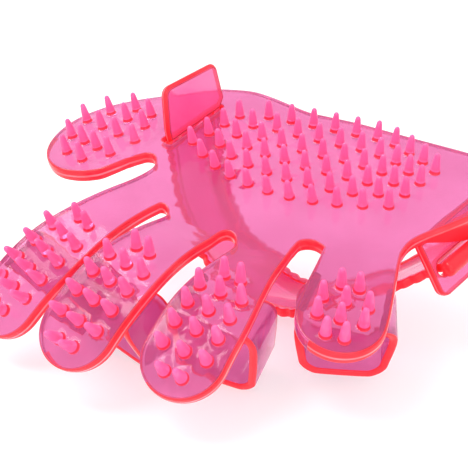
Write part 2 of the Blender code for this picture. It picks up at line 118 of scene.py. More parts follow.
def divided(points, spacing, closed=False):
    """The same line with points no further apart than spacing."""
    line = []
    pairs = list(zip(points, points[1:] + ([points[0]] if closed else [])))
    for a, b in pairs:
        count = max(1, math.ceil((b - a).length / spacing))
        line += [a.lerp(b, k / count) for k in range(count)]
    if not closed:
        line.append(points[-1].copy())
    return line


def distances(points, loop):
    """Distance of each point from a closed loop, as arrays."""
    a = np.array([p[:2] for p in loop], float)
    b = np.roll(a, -1, axis=0)
    d = b - a
    length = np.maximum((d * d).sum(1), 1e-12)
    p = np.asarray(points, float)[:, None, :]
    t = np.clip(((p - a) * d).sum(2) / length, 0, 1)
    return np.sqrt((((a + t[..., None] * d) - p) ** 2).sum(2)).min(1)


def inside(points, loop):
    """Which points lie inside a closed loop."""
    a = np.array([p[:2] for p in loop], float)
    b = np.roll(a, -1, axis=0)
    p = np.asarray(points, float)
    x, y = p[:, None, 0], p[:, None, 1]
    span = (a[:, 1] > y) != (b[:, 1] > y)
    rise = np.where(np.abs(b[:, 1] - a[:, 1]) < 1e-12, 1e-12, b[:, 1] - a[:, 1])
    cross = x < (b[:, 0] - a[:, 0]) * (y - a[:, 1]) / rise + a[:, 0]
    return (span & cross).sum(1) % 2 == 1


def finished(name, bm, materials, place):
    """The mesh as a smooth-shaded object in the row frame."""
    bmesh.ops.recalc_face_normals(bm, faces=bm.faces)
    for edge in bm.edges:
        capped = [face.material_index == CLEAR for face in edge.link_faces]
        edge.smooth = all(capped) or not any(capped)
    mesh = bpy.data.meshes.new(name)
    bm.to_mesh(mesh)
    bm.free()
    mesh.transform(place)
    for face in mesh.polygons:
        face.use_smooth = True
    for material in materials:
        mesh.materials.append(material)
    item = bpy.data.objects.new(name, mesh)
    bpy.context.scene.collection.objects.link(item)
    return item


# ---------------------------------------------------------------- plates

BRISTLE_SIDES = 16
# Bristle profile: height and radius
BRISTLE_PROFILE = ((0.0, 1.75), (0.12, 1.62), (0.35, 1.56), (0.95, 1.5), (1.15, 1.46), (3.0, 1.25),
                   (4.8, 1.02), (5.5, 0.92), (6.1, 0.81), (6.5, 0.62), (6.72, 0.35))
BRISTLE_TOP = 6.8
RED_ROOT = 3            # steps of the profile that show as the red root
SHADED_LIP_STEPS = 1           # steps of a rounded edge, from the top, drawn as a dark line of painted shade
HIGHLIGHT_STREAK_STEP = RIM_STEPS + 1     # the step drawn as a painted highlight, a pale streak along the edge
BULGE = 0.12            # how far the middle of an edge swells out
BULGE_FROM, BULGE_TO = 0.40, 0.56   # shares of the sheet's thickness
SKIRT_FROM = 0.7        # share of the thickness below which the skirt stretches the wall
SKIRT_THICKNESS = 3.0


def inward(outline, kinds):
    """Unit directions into a loop that runs anticlockwise; seam ends move along their seam."""
    count = len(outline)
    found = []
    for i, kind in enumerate(kinds):
        before, here, after = outline[i - 1], outline[i], outline[(i + 1) % count]
        if kind == "c":
            found.append(Vector((0, 0)))
        elif kind == "k":
            other = after if kinds[(i + 1) % count] in "ck" and kinds[i - 1] == "r" else before
            found.append((other - here).normalized())
        else:
            one, two = (here - before).normalized(), (after - here).normalized()
            one, two = Vector((-one.y, one.x)), Vector((-two.y, two.x))
            middle = (one + two).normalized()
            found.append(middle / max(middle.dot(one), 0.5))
    return found


def rim_rings(sheet, rim):
    """Inset and height of each line of the rounded edge, from the top face to the bottom face."""
    rings = []
    for k in range(RIM_STEPS + 1):
        angle = math.pi / 2 * k / RIM_STEPS
        rings.append((rim * (1 - math.sin(angle)), -rim * (1 - math.cos(angle))))
    bulge = [(-BULGE, -BULGE_FROM * sheet), (-BULGE, -BULGE_TO * sheet)]
    return rings + bulge + [(inset, -sheet - height) for inset, height in reversed(rings)]


def plate(name, outline, kinds, surface, place, materials, sheet=SHEET, rim=RIM, bristles=(),
          holes=(), grid=3.0, skirt=None, top=0.0, away=None):
    """A closed sheet with rounded edges. surface(u, v) gives a point, its side and its up."""
    bm = bmesh.new()

    def lifted(u, v, height):
        point, _, up = surface(u, v)
        return bm.verts.new(point + up * (top + height))

    loops = [(outline, kinds)] + [(hole, "r" * len(hole)) for hole in holes]
    inner_loops, tops, bottoms = [], [], []
    for index, (loop, marks) in enumerate(loops):
        into = inward(loop, marks)
        count = len(loop)
        rows = []
        for inset, height in rim_rings(sheet, rim):
            row = []
            for k in range(count):
                low_down = skirt and index == 0 and height < -SKIRT_FROM * sheet
                extra = skirt(loop[k]) if low_down else 0.0
                at = loop[k] + into[k] * inset
                row.append(lifted(at.x, at.y, height - extra))
            rows.append(row)
        inner = [loop[k] + into[k] * rim for k in range(count)]
        inner_loops.append(inner)
        if index == 0:
            bottom_outer = inner
        if skirt and index == 0:
            # The skirt's inner face leads back up to the underside, but not along a seam
            bottom_outer, row = [], []
            for k in range(count):
                if marks[k] == "r":
                    at = loop[k] + into[k] * (rim + 0.05 + min(skirt(loop[k]), SKIRT_THICKNESS))
                    bottom_outer.append(at)
                    row.append(lifted(at.x, at.y, -sheet))
                else:
                    bottom_outer.append(inner[k])
                    row.append(rows[-1][k])
            rows.append(row)
        for step, (one, two) in enumerate(zip(rows, rows[1:])):
            for k in range(count):
                after = (k + 1) % count
                corners = []
                for vert in (one[k], one[after], two[after], two[k]):
                    if vert not in corners:
                        corners.append(vert)
                if len(corners) < 3:
                    continue
                face = bm.faces.new(corners)
                out = -(into[k] + into[after])
                if marks[k] in "ck" and marks[after] in "ck":
                    face.material_index = CLEAR
                # Painted shade: the top step of each rounded edge is drawn as a dark line
                elif step < SHADED_LIP_STEPS:
                    face.material_index = SHADED_LIP
                # Painted light: edges that face away are drawn pale in the face colour instead of red, as if
                # lit from behind
                elif index == 0 and away and away(out):
                    face.material_index = FACE
                else:
                    # The middle step of each edge gets the painted highlight streak
                    face.material_index = HIGHLIGHT_STREAK if step == HIGHLIGHT_STREAK_STEP else EDGE
        tops.append(rows[0])
        bottoms.append(rows[-1])

    # Bristles
    base = BRISTLE_PROFILE[0][1]
    circles = []
    for u, v, lean in bristles:
        point, side, up = surface(u, v)
        forward = up.cross(side)
        axis = (up + forward * math.tan(lean)).normalized()
        one = (side - axis * side.dot(axis)).normalized()
        two = axis.cross(one)
        rows = []
        for height, radius in BRISTLE_PROFILE:
            row = []
            for k in range(BRISTLE_SIDES):
                angle = 2 * math.pi * k / BRISTLE_SIDES
                across, along = radius * math.cos(angle), radius * math.sin(angle)
                if height == 0:
                    row.append(lifted(u + across, v + along, 0))
                else:
                    row.append(bm.verts.new(point + up * top + axis * height + one * across + two * along))
            rows.append(row)
        for step, (low, high) in enumerate(zip(rows, rows[1:])):
            for k in range(BRISTLE_SIDES):
                after = (k + 1) % BRISTLE_SIDES
                face = bm.faces.new((low[k], low[after], high[after], high[k]))
                face.material_index = ROOT if step < RED_ROOT else BRISTLE
        tip = bm.verts.new(point + up * top + axis * BRISTLE_TOP)
        for k in range(BRISTLE_SIDES):
            face = bm.faces.new((rows[-1][k], rows[-1][(k + 1) % BRISTLE_SIDES], tip))
            face.material_index = BRISTLE
        circle = []
        for k in range(BRISTLE_SIDES):
            angle = 2 * math.pi * k / BRISTLE_SIDES
            circle.append(Vector((u + base * math.cos(angle), v + base * math.sin(angle))))
        circles.append((Vector((u, v)), circle, rows[0]))

    # Points inside, so that the faces can bend
    low = Vector((min(p.x for p in outline), min(p.y for p in outline)))
    high = Vector((max(p.x for p in outline), max(p.y for p in outline)))
    spots = []
    row = 0
    y = low.y + 0.5 * grid
    while y < high.y:
        x = low.x + grid * (0.25 if row % 2 else 0.75)
        while x < high.x:
            spots.append((x, y))
            x += grid
        y += grid * 0.866
        row += 1
    spots = np.array(spots)

    def fill(loops, loop_verts, circles, down):
        """Triangles over the top or the underside, between its loops and round its bristles."""
        keep = inside(spots, loops[0])
        for loop in loops[1:]:
            keep &= ~inside(spots, loop)
        for loop in loops:
            keep &= distances(spots, loop) > 0.45 * grid
        for centre, _, _ in circles:
            keep &= np.hypot(spots[:, 0] - centre.x, spots[:, 1] - centre.y) > base + 0.3 * grid
        points, verts, edges = [], [], []
        for loop, row_verts in list(zip(loops, loop_verts)) + [(c[1], c[2]) for c in circles]:
            first, count = len(points), len(loop)
            points += loop
            verts += row_verts
            edges += [(first + k, first + (k + 1) % count) for k in range(count)]
        for x, y in spots[keep]:
            points.append(Vector((x, y)))
            verts.append(lifted(x, y, -sheet if down else 0))
        made = delaunay_2d_cdt([Vector(p) for p in points], edges, [], 1, 1e-6)
        corners = np.array([[p.x, p.y] for p in made[0]])
        faces = [list(f) for f in made[2]]
        middles = np.array([corners[f].mean(0) for f in faces])
        wanted = np.array(inside(middles, loops[0]))
        for loop in loops[1:]:
            wanted &= ~inside(middles, loop)
        for centre, circle, _ in circles:
            wanted &= ~inside(middles, circle)
        for f, good in zip(faces, wanted):
            if good:
                face = bm.faces.new([verts[made[3][k][0]] for k in f])
                face.material_index = FACE

    fill(inner_loops, tops, circles, False)
    fill([bottom_outer] + inner_loops[1:], bottoms, [], True)
    return finished(name, bm, materials, place)


def with_seams(parts):
    """One outline and its marks from stretches, each a list of points that is a seam or a rim."""
    outline, marks = [], []
    for kind, points in parts:
        for k, point in enumerate(points):
            outline.append(point)
            if kind == "rim":
                marks.append("r")
            else:
                marks.append("k" if k in (0, len(points) - 1) else "c")
    return outline, marks


# ---------------------------------------------------------------- materials

DULL_SCALE, SWELL_SCALE = 140.0, 220.0      # of the dull patches and of the swells
SWELL_HEIGHT = 0.0006                       # metres
GEL_IOR = 1.33

def tree_of(name):
    material = bpy.data.materials.new(name)
    material.use_nodes = True
    nodes = material.node_tree.nodes
    return material, nodes, material.node_tree.links, nodes["Principled BSDF"]


def noise(nodes, links, scale, detail=3.0):
    where = nodes.new("ShaderNodeTexCoord")
    texture = nodes.new("ShaderNodeTexNoise")
    texture.inputs["Scale"].default_value = scale
    texture.inputs["Detail"].default_value = detail
    links.new(where.outputs["Object"], texture.inputs["Vector"])
    return texture.outputs["Fac"]


def ramp(nodes, links, source, low, high, spread=(0.3, 0.7)):
    """A noise turned into a colour between low and high."""
    made = nodes.new("ShaderNodeValToRGB")
    made.color_ramp.elements[0].position = spread[0]
    made.color_ramp.elements[1].position = spread[1]
    made.color_ramp.elements[0].color = (*low, 1)
    made.color_ramp.elements[1].color = (*high, 1)
    links.new(source, made.inputs["Fac"])
    return made.outputs["Color"]


def gel(name, low, high, clear, rough=(0.05, 0.14), swell=0.12, sheen_scale=60.0, glow=0.0,
        glow_colour=(1, 0.2, 0.3)):
    """Clear or cloudy gel: flow marks in its colour, faint swells and dull patches on its surface, and a
    painted glow (emission) of strength glow.
    """
    material, nodes, links, shader = tree_of(name)
    flow = noise(nodes, links, sheen_scale, 4.0)
    links.new(ramp(nodes, links, flow, low, high), shader.inputs["Base Color"])
    dull = nodes.new("ShaderNodeMapRange")
    links.new(noise(nodes, links, DULL_SCALE), dull.inputs["Value"])
    dull.inputs["To Min"].default_value = rough[0]
    dull.inputs["To Max"].default_value = rough[1]
    links.new(dull.outputs["Result"], shader.inputs["Roughness"])
    bump = nodes.new("ShaderNodeBump")
    bump.inputs["Strength"].default_value = swell
    bump.inputs["Distance"].default_value = SWELL_HEIGHT
    links.new(noise(nodes, links, SWELL_SCALE, 2.0), bump.inputs["Height"])
    links.new(bump.outputs["Normal"], shader.inputs["Normal"])
    shader.inputs["Transmission Weight"].default_value = clear
    shader.inputs["IOR"].default_value = GEL_IOR
    shader.inputs["Specular IOR Level"].default_value = 0.5
    # Painted glow: emission that brightens the gel though it is no lamp
    shader.inputs["Emission Color"].default_value = (*glow_colour, 1)
    shader.inputs["Emission Strength"].default_value = glow
    return material


def unseen(name):
    """For the flat ends where two stretches of one moulding meet."""
    material, _, _, shader = tree_of(name)
    shader.inputs["Alpha"].default_value = 0.0
    shader.inputs["Specular IOR Level"].default_value = 0.0
    return material


# Every glow below is painted glow: emission that stands for light carried through the gel, though no part of
# the glove is a lamp
face_gel = gel("gel_face", (0.64, 0.16, 0.35), (0.71, 0.20, 0.42), 0.84, glow=0.05,
               glow_colour=(1.0, 0.1, 0.6))
strap_gel = gel("gel_strap", (0.93, 0.19, 0.41), (0.98, 0.24, 0.47), 0.70, glow=0.07,
                glow_colour=(1.0, 0.1, 0.5))
# The edges' deep red is the gel's own tint seen through its thickness; their glow is painted glow of light
# piped along the sheet
edge_gel = gel("gel_edge", (0.90, 0.018, 0.032), (0.98, 0.040, 0.060), 0.22, rough=(0.08, 0.16), glow=0.12,
               glow_colour=(1.0, 0.03, 0.05))
# The bristles' strong glow is painted glow that lights them up to a bright hot pink
bristle_gel = gel("gel_bristle", (1.0, 0.13, 0.34), (1.0, 0.17, 0.40), 0.45, swell=0.05, glow=0.32,
                  glow_colour=(1.0, 0.10, 0.30))
root_gel = gel("gel_bristle_root", (0.90, 0.03, 0.07), (0.96, 0.05, 0.1), 0.15, glow=0.06,
               glow_colour=(1.0, 0.04, 0.08))
# Painted highlight: a pale pink streak, broken up by noise, that stands for light reflected along each edge
highlight_streak_gel = gel("gel_painted_highlight", (0.95, 0.04, 0.06), (1.0, 0.42, 0.48), 0.2, rough=(0.08, 0.16),
                 sheen_scale=45.0, glow=0.10, glow_colour=(1.0, 0.12, 0.15))
# Painted shade: a dark red line along the top of each edge
shaded_lip_gel = gel("gel_lip_painted_shade", (0.50, 0.05, 0.11), (0.66, 0.09, 0.18), 0.45)
clear_gel = unseen("gel_inside")
GLOVE = (face_gel, edge_gel, bristle_gel, root_gel, clear_gel, highlight_streak_gel, shaded_lip_gel)
BAND = (strap_gel, edge_gel, bristle_gel, root_gel, clear_gel, highlight_streak_gel, shaded_lip_gel)


# ---------------------------------------------------------------- fingers

FINGERS = {
    "index": dict(root=(-23.4, -36.4), heading=-4, bank=4, droop=(-7.7, 39.4), length=65.0,
                  half_width=(6.8, 10.9), pad_start=28, rows=6, row_pitch=6.3, end=8.1,
                  loop=(42.3, 29.3, 10.8, -3.6, 28), seam=(0.0, 4.8), flare=2.0),
    "middle": dict(root=(-3.5, -38.2), heading=7.6, bank=3.2, droop=(-19, 35), length=59.1,
                   half_width=(8.5, 10.8), pad_start=19.5, rows=6, row_pitch=6.1, end=6.3,
                   loop=(35.9, 30.4, 11.2, -2.7, 19.5), seam=(4.4, 2.6)),
    "ring": dict(root=(18.0, -32.3), heading=17, bank=3.6, droop=(-16, 25.5), length=54.4,
                 half_width=(7.1, 10.9), pad_start=15, rows=6, row_pitch=5.9, end=5.6,
                 loop=(25.5, 29.8, 12.3, 4.3, 7.2), seam=(7.0, 0.0)),
    "little": dict(root=(38.0, -15.2), heading=27, bank=4.7, droop=(4, 3), length=37.2,
                   half_width=(10.4, 11.7), pad_start=0, rows=4, row_pitch=5.5, end=4.7,
                   loop=(18, 25, 13.4, 13, 3), seam=(3.4, 0.0)),
}
COLUMN_PITCH = 6.0
WIDTH_BLEND = 0.65      # share of the length over which a finger widens
FLARE_LENGTH = 30.0     # over which the extra width at a finger's root dies away
TIP_STEPS = 36
RISE = 8.0              # over which a finger leaves the palm's plane
STEP = 0.25             # of the finger's centre line
SEAM_POINTS = 9


def droop_at(finger, distance):
    first, last = (math.radians(angle) for angle in finger["droop"])
    return first * smooth(distance / RISE) + (last - first) * smooth(distance / finger["length"])


def trace(finger):
    """Points and forwards along the finger's centre line."""
    heading = math.radians(finger["heading"])
    finger["level"] = Vector((math.sin(heading), -math.cos(heading), 0))
    finger["side"] = Vector((math.cos(heading), math.sin(heading), 0))
    down = Vector((0, 0, -1))
    point = Vector((*finger["root"], 0))
    line = [point.copy()]
    for k in range(int(finger["length"] / STEP) + 3):
        droop = droop_at(finger, STEP * (k + 0.5))
        point = point + (finger["level"] * math.cos(droop) + down * math.sin(droop)) * STEP
        line.append(point)
    finger["line"] = line


def finger_frame(finger, distance):
    length = finger["length"]
    at = min(max(distance / STEP, 0), len(finger["line"]) - 2)
    low = int(at)
    point = finger["line"][low].lerp(finger["line"][low + 1], at - low)
    droop = droop_at(finger, distance)
    forward = finger["level"] * math.cos(droop) - Vector((0, 0, math.sin(droop)))
    bank = math.radians(finger["bank"]) * smooth(distance / length)
    side = Matrix.Rotation(-bank, 3, forward) @ finger["side"]
    return point, side, side.cross(-forward), forward


def half_width(finger, distance, turn=1):
    """Half the width on the little finger's side, or on the thumb's side where turn is -1."""
    first, last = finger["half_width"]
    width = first + (last - first) * smooth(distance / (WIDTH_BLEND * finger["length"]))
    if turn < 0:
        width += finger.get("flare", 0.0) * (1 - smooth(distance / FLARE_LENGTH))
    beyond = max(distance - (finger["length"] - last), 0) / last
    return width * math.sqrt(max(1 - beyond * beyond, 0))


def finger_surface(finger):
    """v runs back from the tip, so a point's distance from the root is -v."""
    def surface(u, v):
        point, side, up, _ = finger_frame(finger, -v)
        return point + side * u, side, up
    return surface


def root_seam(finger):
    """Points across the finger's root, from its left to its right, as (u, v)."""
    left, right = finger["seam"]
    a = Vector((-half_width(finger, left, -1), -left))
    b = Vector((half_width(finger, right), -right))
    return [a.lerp(b, k / (SEAM_POINTS - 1)) for k in range(SEAM_POINTS)]


def pad_seam(finger):
    begin = finger["pad_start"]
    a, b = Vector((-half_width(finger, begin, -1), -begin)), Vector((half_width(finger, begin), -begin))
    return [a.lerp(b, k / (SEAM_POINTS - 1)) for k in range(SEAM_POINTS)]


def side_points(finger, turn, start, end):
    """Down one side of a finger, without its ends."""
    count = max(2, math.ceil((end - start) / 2.0))
    stations = [start + (end - start) * k / count for k in range(1, count)]
    return [Vector((turn * half_width(finger, s, turn), -s)) for s in stations]


def tip_points(finger):
    radius, length = finger["half_width"][1], finger["length"]
    points = []
    for k in range(TIP_STEPS + 1):
        angle = math.pi * k / TIP_STEPS
        s = length - radius + radius * math.sin(angle)
        points.append(Vector((-radius * math.cos(angle), -s)))
    return points


def finger_bristles(finger, start, end):
    places = []
    for row in range(finger["rows"]):
        distance = finger["length"] - finger["end"] - (finger["rows"] - 1 - row) * finger["row_pitch"]
        if start < distance < end:
            offsets = (-0.4, 0.4) if row in (0, finger["rows"] - 1) else (-1, 0, 1)
            places += [(offset * COLUMN_PITCH, -distance, 0.0) for offset in offsets]
    return places


def outer_side(out):
    """Whether an edge is on the finger's thumb side, where it is drawn pale as painted light from behind."""
    return out.normalized().x < -0.5


def make_finger(name, finger):
    surface = finger_surface(finger)
    left, right = finger["seam"]
    root = root_seam(finger)
    straight = finger["length"] - finger["half_width"][1]
    pad_start = finger["pad_start"]
    made = []
    if pad_start:
        parts = [("seam", root[::-1]), ("rim", side_points(finger, -1, left, pad_start)),
                 ("seam", pad_seam(finger)), ("rim", side_points(finger, 1, right, pad_start)[::-1])]
        outline, marks = with_seams(parts)
        base = plate(name + "_base_gel", outline, marks, surface, PALM, GLOVE,
                     bristles=finger_bristles(finger, 0, pad_start), grid=2.4, away=outer_side)
        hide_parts(name + "_base")
        made.append(base)
        head, begin_left, begin_right = pad_seam(finger), pad_start, pad_start
    else:
        head, begin_left, begin_right = root, left, right
    parts = [("seam", head[::-1]), ("rim", side_points(finger, -1, begin_left, straight)),
             ("rim", tip_points(finger)), ("rim", side_points(finger, 1, begin_right, straight)[::-1])]
    outline, marks = with_seams(parts)
    pad = plate(name + "_pad_gel", outline, marks, surface, PALM, GLOVE,
                bristles=finger_bristles(finger, pad_start, finger["length"]), grid=2.4, away=outer_side)
    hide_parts(name + "_pad")
    made.append(pad)
    return made


def along(finger, distance):
    point, _, up, _ = finger_frame(finger, distance)
    return PALM @ (point - up * (SHEET / 2))


# ---------------------------------------------------------------- palm and thumb

WEB_STEPS = 14
LIP_LENGTH, LIP_SPREAD = 12.0, 2.5  # of the palm's lips where the fingers begin
THUMB_HINGE = (Vector((-41.3, -33.6)), Vector((-53.6, 10.3)))
HEEL = [(46.3, -5.5), (47.2, 0.0), (49.8, 8.0), (52.3, 17.0), (53.4, 27.0), (53.0, 35.5), (49.5, 41.0),
        (43.0, 42.6), (34.0, 41.0), (19.0, 36.5), (8.7, 33.5), (-1.8, 30.4), (-12.0, 26.5), (-18.3, 24.2),
        (-26.4, 23.3), (-34.5, 22.4), (-42.0, 20.4), (-50.6, 14.3)]
THUMB_WEB = [(-40.1, -30.0), (-39.2, -28.2), (-36.9, -27.4), (-33.9, -29.2), (-32.5, -31.6),
             (-32.2, -34.0)]
LITTLE_WEB = [(24.4, -28.4), (24.0, -25.8), (25.2, -23.9), (27.2, -22.9)]
WEB_DEPTH = {"middle": 1.9, "ring": 6.0}
BUCKLE_X, BUCKLE_Z, BUCKLE_WALL = 46.6, -5.4, 3.0
BUCKLE_SLOPE = math.radians(54)


def on_palm(finger, at):
    """A (u, v) point of a finger's root, in the palm's plane."""
    return Vector(finger["root"]) + finger["side"].xy * at.x - finger["level"].xy * at.y


def palm_surface(u, v):
    """Flat, but for the lips where the fingers begin."""
    here = Vector((u, v))
    best, share, found = None, 0.0, None
    for finger in FINGERS.values():
        away = here - Vector(finger["root"])
        s = away.dot(finger["level"].xy)
        across = away.dot(finger["side"].xy)
        if 0 < s < LIP_LENGTH:
            near = 1 - min(max((abs(across) - half_width(finger, s)) / LIP_SPREAD, 0), 1)
            if near > share:
                best, share, found = finger, near, (across, s)
    flat = Vector((u, v, 0))
    side, up = Vector((1, 0, 0)), Vector((0, 0, 1))
    if best is None:
        return flat, side, up
    point, own_side, own_up, _ = finger_frame(best, found[1])
    point = point + own_side * found[0]
    side = side.lerp(own_side, share).normalized()
    up = up.lerp(own_up, share).normalized()
    return flat.lerp(point, share), side, up


def web(a, b, into_a, into_b, depth):
    """A round-ended gap between two fingers, from point a to point b, without its ends."""
    one, two = a + into_a * depth, b + into_b * depth
    points = []
    for k in range(1, WEB_STEPS):
        t = k / WEB_STEPS
        points.append(a * (1 - t) ** 3 + one * 3 * t * (1 - t) ** 2 + two * 3 * t * t * (1 - t) + b * t ** 3)
    return points


PALM_COLUMNS, PALM_FIRST_COLUMN = 11, -33.0
PALM_COLUMN_PITCH, PALM_PITCH_LOSS = 7.5, 0.095     # columns close up towards the little finger
PALM_LEAST_ROW_PITCH, PALM_MOST_ROWS = 5.85, 6
FAN_CENTRE, FAN_PER_MM = 8.0, math.radians(0.35)    # bristles lean away from this line


def palm_bristles():
    """Columns along the hand whose ends follow the knuckles in front and the heel behind."""
    places = []
    for column in range(PALM_COLUMNS):
        x = PALM_FIRST_COLUMN + column * (PALM_COLUMN_PITCH - column * PALM_PITCH_LOSS)
        front = -18.5 + 0.0102 * (x + 13.0) ** 2
        back = min(23.4 + 0.424 * x, 28.0 - 0.0095 * (x - 15.0) ** 2)
        count = 1 + min(PALM_MOST_ROWS - 1, int((back - front) / PALM_LEAST_ROW_PITCH))
        for row in range(count):
            y = front + (back - front) * row / (count - 1)
            places.append((x, y, FAN_PER_MM * (y - FAN_CENTRE)))
    return places


def hinge_points(count=14):
    start, end = THUMB_HINGE
    return [start.lerp(end, k / (count - 1)) for k in range(count)]


SLOT_CORNERS = [(-43.9, -14.9, 1.0), (-43.9, 10.9, 1.0), (-40.1, 10.9, 1.0), (-40.1, -14.9, 1.0)]


def slot_outline():
    """The strap's slot in the palm's plane, clockwise."""
    to_palm = PALM.inverted() @ STRAP
    down = to_palm.to_3x3() @ Vector((0, 0, 1))
    loop = []
    for point in rounded(SLOT_CORNERS, 4):
        at = to_palm @ Vector((point.x, point.y, 0))
        at -= down * ((at.z + SHEET / 2) / down.z)
        loop.append(at.xy)
    loop = divided(loop, 2.0, closed=True)
    area = sum(a.x * b.y - a.y * b.x for a, b in zip(loop, loop[1:] + loop[:1]))
    return loop if area < 0 else loop[::-1]


def palm_skirt(at):
    """The side wall grows deeper towards the wrist, where the buckle tab springs from it."""
    if at.y < -4.0 or at.x < BUCKLE_X:
        return 0.0
    fade = 1 - smooth((at.y - 34.0) / 8.0)
    return max(0.0, (at.x - BUCKLE_X) * 1.25 - 1.0) * fade


def wristward(out):
    """Whether an edge looks back towards the wrist or across to the thumb's far side, where it is drawn pale
    as painted light from behind.
    """
    return out.normalized().dot(Vector((-0.68, 0.73))) > 0.25


def make_palm():
    ends = {}
    for name, finger in FINGERS.items():
        ends[name] = [on_palm(finger, at) for at in root_seam(finger)]
    parts = [("seam", hinge_points()[::-1])]
    start = [Vector(THUMB_HINGE[0])] + [Vector(p) for p in THUMB_WEB] + [ends["index"][0]]
    parts.append(("rim", catmull(start, 3)[2:-1]))      # the sharp corner takes no point close by
    names = list(FINGERS)
    for name, following in zip(names, names[1:]):
        parts.append(("seam", ends[name]))
        a, b = ends[name][-1], ends[following][0]
        if following == "little":
            points = catmull([a] + [Vector(p) for p in LITTLE_WEB] + [b], 4)[1:-1]
        else:
            points = web(a, b, -FINGERS[name]["level"].xy, -FINGERS[following]["level"].xy,
                         WEB_DEPTH[following])
        parts.append(("rim", points))
    parts.append(("seam", ends["little"]))
    last = ends["little"][-1]
    heel = catmull([last] + [Vector(p) for p in HEEL] + [THUMB_HINGE[1]], 4)
    parts.append(("rim", divided(heel, 3.0)[1:-1]))
    outline, marks = with_seams(parts)
    palm = plate("palm_gel", outline, marks, palm_surface, PALM, GLOVE, bristles=palm_bristles(),
                 holes=[slot_outline()], skirt=palm_skirt, away=wristward)
    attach(palm, "palm")
    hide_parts("palm_plate")


THUMB_OUTLINE = [(-60.0, 4.3), (-65.8, -1.5), (-71.6, -7.6), (-77.4, -16.4), (-79.8, -26.5),
                 (-78.0, -35.4), (-72.8, -43.3), (-65.3, -48.2), (-57.0, -49.6), (-49.6, -47.4),
                 (-44.6, -43.3), (-42.3, -38.6)]
THUMB_DROOP = math.radians(9)
THUMB_BEND = 6.0        # width of the bend beyond the hinge
# Bristle rows: y, first x, how many, pitch
THUMB_ROWS = ((-42.4, -62.4, 2, 8.7), (-35.4, -69.8, 4, 7.2), (-26.3, -74.3, 4, 9.0),
              (-18.4, -71.3, 3, 9.6), (-12.3, -64.6, 2, 8.3))


def thumb_surface(u, v):
    """Flat beyond a short bend along the hinge."""
    start, end = (Vector((*p, -SHEET / 2)) for p in THUMB_HINGE)
    line = (end - start).normalized()
    here = Vector((u, v, 0))
    outwards = Vector((-line.y, line.x, 0))
    turn = Matrix.Rotation(-THUMB_DROOP * smooth((here - start).dot(outwards) / THUMB_BEND), 3, line)
    return start + turn @ (here - start), turn @ Vector((1, 0, 0)), turn @ Vector((0, 0, 1))


def make_thumb():
    seam = hinge_points()
    last, first = seam[-1], seam[0]
    lobe = catmull([last] + [Vector(p) for p in THUMB_OUTLINE] + [first], 4)
    outline, marks = with_seams([("seam", seam), ("rim", divided(lobe, 3.0)[1:-1])])
    places = []
    for y, first_x, count, pitch in THUMB_ROWS:
        places += [(first_x + k * pitch, y, 0.0) for k in range(count)]
    thumb = plate("thumb_gel", outline, marks, thumb_surface, PALM, GLOVE, bristles=places, away=wristward)
    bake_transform(thumb)
    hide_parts("thumb_plate")


# ---------------------------------------------------------------- ribbons: loops and strap


def corner_ring(half, thick, radius, steps=3):
    """A rounded bar's cross-section as (across, height), anticlockwise."""
    ring = []
    for turn_x, turn_z, start in ((1, -1, -90), (1, 1, 0), (-1, 1, 90), (-1, -1, 180)):
        for k in range(steps + 1):
            angle = math.radians(start + 90 * k / steps)
            ring.append((turn_x * (half - radius) + radius * math.cos(angle),
                         turn_z * (thick - radius) + radius * math.sin(angle)))
    return ring


def rimmed_ring(half, thick, radius, border, web_thick, steps=3):
    """The same with a thinner middle between two borders; border is where the middle starts."""
    ring = corner_ring(half, thick, radius, steps)
    quarter = steps + 1
    step = 0.5
    lower = [(-border - step, -thick), (-border, -web_thick), (border, -web_thick), (border + step, -thick)]
    upper = [(border + step, thick), (border, web_thick), (-border, web_thick), (-border - step, thick)]
    return lower + ring[:2 * quarter] + upper + ring[2 * quarter:]


def ribbon(name, stations, rings, place, materials, wall=0.5, first_cap=EDGE, last_cap=EDGE):
    """A closed band. stations are (left, right) edges; rings give each one's cross-section."""
    bm = bmesh.new()
    centres = [(left + right) / 2 for left, right in stations]
    rows, halves = [], []
    last = len(stations) - 1
    for i, (left, right) in enumerate(stations):
        across = (right - left).normalized()
        ahead = centres[min(i + 1, last)] - centres[max(i - 1, 0)]
        normal = across.cross(ahead).normalized()
        rows.append([bm.verts.new(centres[i] + across * x + normal * z) for x, z in rings[i]])
        halves.append(max(x for x, _ in rings[i]))
    count = len(rows[0])
    for i, (one, two) in enumerate(zip(rows, rows[1:])):
        for k in range(count):
            after = (k + 1) % count
            face = bm.faces.new((one[k], one[after], two[after], two[k]))
            (xa, za), (xb, zb) = rings[i][k], rings[i][after]
            steep = abs(zb - za) > 0.35 * abs(xb - xa)
            face.material_index = EDGE if steep or abs(xa + xb) / 2 > halves[i] - wall else FACE
    for row, cap in ((rows[0], first_cap), (rows[-1], last_cap)):
        bm.faces.new(row).material_index = cap
    return finished(name, bm, materials, place)


LOOP_WIDTH, LOOP_WALL, LOOP_TAPER, LOOP_SHOULDER, LOOP_CORNER = 14.0, 2.2, 0.9, 9.0, 5.5


